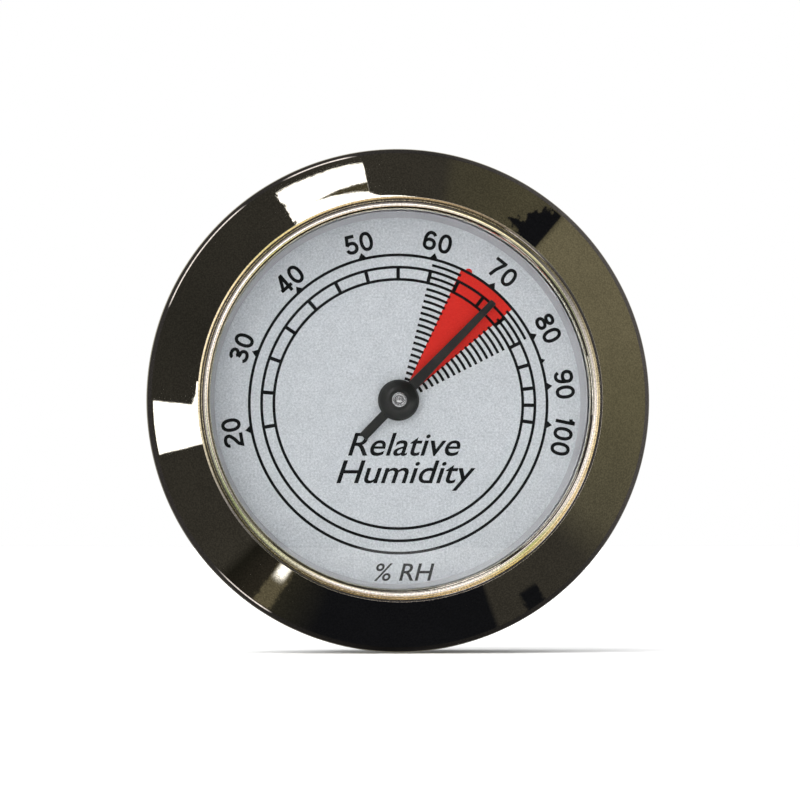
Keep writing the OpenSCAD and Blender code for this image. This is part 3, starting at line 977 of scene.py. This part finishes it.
# The light on what isn't polished: the directions it comes from, its strengths, and how narrow each source is
KEY_DIRECTION, KEY_LIGHT, KEY_FOCUS = (-0.13, -0.985, 0.11), 8.1, 30.0
SIDE_DIRECTION, SIDE_LIGHT, SIDE_FOCUS = (-0.66, -0.34, 0.66), 5.8, 6.0
SHEEN_DIRECTION, SHEEN_LIGHT, SHEEN_FOCUS = (-0.5, -0.64, 0.58), 4, 12
OVERHEAD_LIGHT, OVERHEAD_FOCUS = 2.0, 4
REAR_LIGHT = 0.6
AMBIENT = 0.05
SHEEN_AMBIENT = 0.08
# Counts of a ray's diffuse bounces, and of its passes through glass: four for in and out of the lens
AFTER_DIFFUSE = (0.4, 0.6)
UNDER_LENS = (3.2, 3.4)


class Field:
    """A number that the world's node tree works out for each direction."""

    def __init__(self, tree, socket):
        self.tree, self.socket = tree, socket

    def apply(self, operation, *others):
        made = self.tree.nodes.new("ShaderNodeMath")
        made.operation = operation
        for target, value in zip(made.inputs, (self, *others)):
            if isinstance(value, Field):
                self.tree.links.new(value.socket, target)
            else:
                target.default_value = value
        return Field(self.tree, made.outputs[0])

    def __add__(self, other):
        return self.apply("ADD", other)

    def __sub__(self, other):
        return self.apply("SUBTRACT", other)

    def __mul__(self, other):
        return self.apply("MULTIPLY", other)

    def abs(self):
        return self.apply("ABSOLUTE")

    def least(self, other):
        return self.apply("MINIMUM", other)

    def most(self, other):
        return self.apply("MAXIMUM", other)

    def above(self, low, high):
        """0 below low and 1 above high, with a soft step between."""
        made = self.tree.nodes.new("ShaderNodeMapRange")
        made.interpolation_type = "SMOOTHSTEP"
        self.tree.links.new(self.socket, made.inputs["Value"])
        made.inputs["From Min"].default_value = low
        made.inputs["From Max"].default_value = high
        return Field(self.tree, made.outputs[0])

    def between(self, low, high, soft):
        return self.above(low, low + soft) * (self * -1).above(-high, soft - high)


class Studio:
    """The world's node tree, which knows each direction by its clock angle and off-axis angle."""

    def __init__(self, tree):
        self.tree = tree
        self.generated = tree.nodes.new("ShaderNodeTexCoord").outputs["Generated"]
        split = tree.nodes.new("ShaderNodeSeparateXYZ")
        tree.links.new(self.generated, split.inputs[0])
        self.x, self.y, self.z = (Field(tree, output) for output in split.outputs)
        across, upward, ahead = (self.toward(axis) for axis in studio_axes())
        self.clock = across.apply("ARCTAN2", upward) * (180 / math.pi)
        self.off_axis = ahead.apply("ARCCOSINE") * (180 / math.pi)
        self.grain = self.noise(70) - 0.5

    def toward(self, v):
        """Cosine of the angle to a unit vector."""
        return self.x * v.x + self.y * v.y + self.z * v.z

    def field(self, node, output):
        return Field(self.tree, self.tree.nodes.new("ShaderNode" + node).outputs[output])

    def put(self, value, socket):
        if isinstance(value, Field):
            self.tree.links.new(value.socket, socket)
        else:
            socket.default_value = (*value, 1)

    def mix(self, share, a, b):
        made = self.tree.nodes.new("ShaderNodeMix")
        made.data_type = "RGBA"
        self.put(share, made.inputs["Factor"])
        self.put(a, made.inputs[6])
        self.put(b, made.inputs[7])
        return Field(self.tree, made.outputs[2])

    def noise(self, scale):
        made = self.tree.nodes.new("ShaderNodeTexNoise")
        self.tree.links.new(self.generated, made.inputs["Vector"])
        made.inputs["Scale"].default_value = scale
        made.inputs["Detail"].default_value = 5.0
        made.inputs["Roughness"].default_value = 0.7
        return Field(self.tree, made.outputs["Fac"])

    def ring(self, tones):
        """Tones round the middle direction, blended from one clock angle to the next."""
        ramp = self.tree.nodes.new("ShaderNodeValToRGB")
        self.put(self.clock * (1 / 360) + 0.5, ramp.inputs[0])
        stops = ramp.color_ramp.elements
        while len(stops) < len(tones):
            stops.new(0.5)
        for stop, (angle, tone) in zip(stops, tones):
            place = angle if abs(angle) == 180 else studio_clock(angle)
            stop.position = place / 360 + 0.5
            colour = tone if isinstance(tone, tuple) else [tone * c for c in SOFT_LIGHT]
            stop.color = (*colour, 1)
        return Field(self.tree, ramp.outputs["Color"])

    def place(self, clocks, ring, clock_soft, ring_soft, ragged):
        """1 at a place on the cone, and 0 round it."""
        clock = self.clock + self.grain * ragged if ragged else self.clock
        start, end = (studio_clock(angle) for angle in clocks)
        return clock.between(start, end, clock_soft) * self.off_axis.between(*ring, ring_soft)

    def lobe(self, direction, focus):
        """Light from round a direction, the narrower the greater focus is."""
        return self.toward(Vector(direction).normalized()).most(0).apply("POWER", focus)


def upper_left_strip(studio, belt):
    """The widest strip light. It has a ragged side with a dark wedge in it, and runs on along the ridge."""
    clock, off_axis, grain = studio.clock, studio.off_axis, studio.grain
    start, end = studio_clock(-31.2), studio_clock(-8.7)
    ragged_clock = clock + grain * (clock - end).between(-24, -19, 2) * 6
    tail = (clock - end) * -0.25 + 54.6 - off_axis
    strip = ragged_clock.above(start, start + 0.4) * tail.most(clock * -1 + end).above(0, 0.15)
    wedge = (clock - start + grain * 6 - 4.5) * 0.05 - (off_axis - 55.55).abs()
    belt = studio.mix(strip * off_axis.between(50, 59.4, 0.2), belt, WHITE)
    return studio.mix(strip * wedge.above(0, 0.25), belt, WEDGE_TONE)


def left_strips(studio, belt):
    """The left strip light with its sliver along the ridge, and the lower left's streak and pale band."""
    clock, off_axis = studio.clock, studio.off_axis
    start, end = studio_clock(-103.2), studio_clock(-90.2)
    slanted = clock + (off_axis - 60).least(0) * -0.25
    sides = clock.above(start, start + 0.5) * (slanted * -1 + end).above(0, 0.5)
    strip = sides * off_axis.between(50, 60.8, 0.5)
    sliver = clock.between(end - 3, end + 5, 0.2) * ((clock - end) * -0.15 + 54.35 - off_axis).above(0, 0.15)
    belt = studio.mix(studio.place(*PALE_BAND), belt, PALE_TONE)
    return studio.mix(strip.most(sliver).most(studio.place(*STREAK)), belt, WHITE)


def dark_cards(studio, belt):
    """A patch at the lower right, and a card at the upper right with a frayed side and a straight one."""
    clock, off_axis = studio.clock, studio.off_axis
    belt = studio.mix(studio.place(*PATCH), belt, BLACK)
    fray = studio.noise(30)
    frayed = clock - studio_clock(34) - (off_axis - 57.5).most(0) * 1.6 + fray * 14 - 7
    point = (clock - studio_clock(30.3) + fray * 8 - 4) * 0.2 - (off_axis - 55.2).abs()
    straight = clock * -1 + studio_clock(41.7)
    card = frayed.above(-0.5, 0.5).most(point.above(0, 0.15)) * straight.above(0, 0.4)
    return studio.mix(card * off_axis.between(45, 61.5, 1), belt, BLACK)


def mirrored_light(studio):
    """What polished metal mirrors, from the middle direction to behind the instrument."""
    off_axis = studio.off_axis
    rings = studio.mix(off_axis.above(*HOLE_END), HOLE_TONE, studio.ring(NEAR))
    for end, tones in ((NEAR_END, FLANK), (FLANK_END, OUTER), (OUTER_END, BELT)):
        rings = studio.mix(off_axis.above(*end), rings, studio.ring(tones))
    belt = dark_cards(studio, left_strips(studio, upper_left_strip(studio, rings)))
    front = studio.mix(off_axis.above(*LIGHTS_FROM), rings, belt)
    for end, tones in ((BELT_END, EDGE), (EDGE_END, REST)):
        front = studio.mix(off_axis.above(*end), front, studio.ring(tones))
    behind = studio.mix(studio.z.above(-0.4, 0.8), BACK_LOW, BACK_HIGH)
    return studio.mix(off_axis.above(*REST_END), front, behind)


def even_light(studio):
    """The light on everything that isn't a mirror: from the front and the upper left, overhead and behind."""
    overhead = studio.z.most(0).apply("POWER", OVERHEAD_FOCUS) * OVERHEAD_LIGHT
    key = studio.lobe(KEY_DIRECTION, KEY_FOCUS) * KEY_LIGHT
    side = studio.lobe(SIDE_DIRECTION, SIDE_FOCUS) * SIDE_LIGHT
    return key + side + overhead + studio.y.above(-0.1, 0.5) * REAR_LIGHT + AMBIENT


def add_studio():
    """The world: what the polished metal mirrors, and the light that falls on everything else."""
    world = bpy.data.worlds.new("studio")
    scene.world = world
    world.use_nodes = True
    world.cycles.sampling_method = "NONE"
    studio = Studio(world.node_tree)
    # Pieces under the lens keep the bright studio out of their sheen, but for a soft light at the upper left
    sheen = studio.lobe(SHEEN_DIRECTION, SHEEN_FOCUS) * SHEEN_LIGHT + SHEEN_AMBIENT
    under_lens = studio.field("LightPath", "Transmission Depth").above(*UNDER_LENS)
    after_diffuse = studio.field("LightPath", "Diffuse Depth").above(*AFTER_DIFFUSE)
    light = studio.mix(under_lens, mirrored_light(studio), sheen)
    light = studio.mix(after_diffuse, light, even_light(studio))
    seen = studio.mix(studio.field("LightPath", "Is Camera Ray"), light, (1.0, 1.0, 1.0))
    studio.put(seen, world.node_tree.nodes["Background"].inputs["Color"])


def add_camera():
    data = bpy.data.cameras.new("camera")
    made = bpy.data.objects.new("camera", data)
    back = camera_back()
    made.location = AIM + back * CAMERA_DISTANCE
    made.rotation_mode = "QUATERNION"
    made.rotation_quaternion = (-back).to_track_quat("-Z", "Y")
    data.sensor_width = SENSOR_WIDTH
    data.lens = SENSOR_WIDTH * CAMERA_DISTANCE / FRAME_WIDTH
    data.clip_start, data.clip_end = 0.01, 10
    scene.collection.objects.link(made)
    scene.camera = made


add_floor()
add_studio()
add_camera()
scene.view_settings.view_transform = "Standard"
scene.view_settings.look = "None"
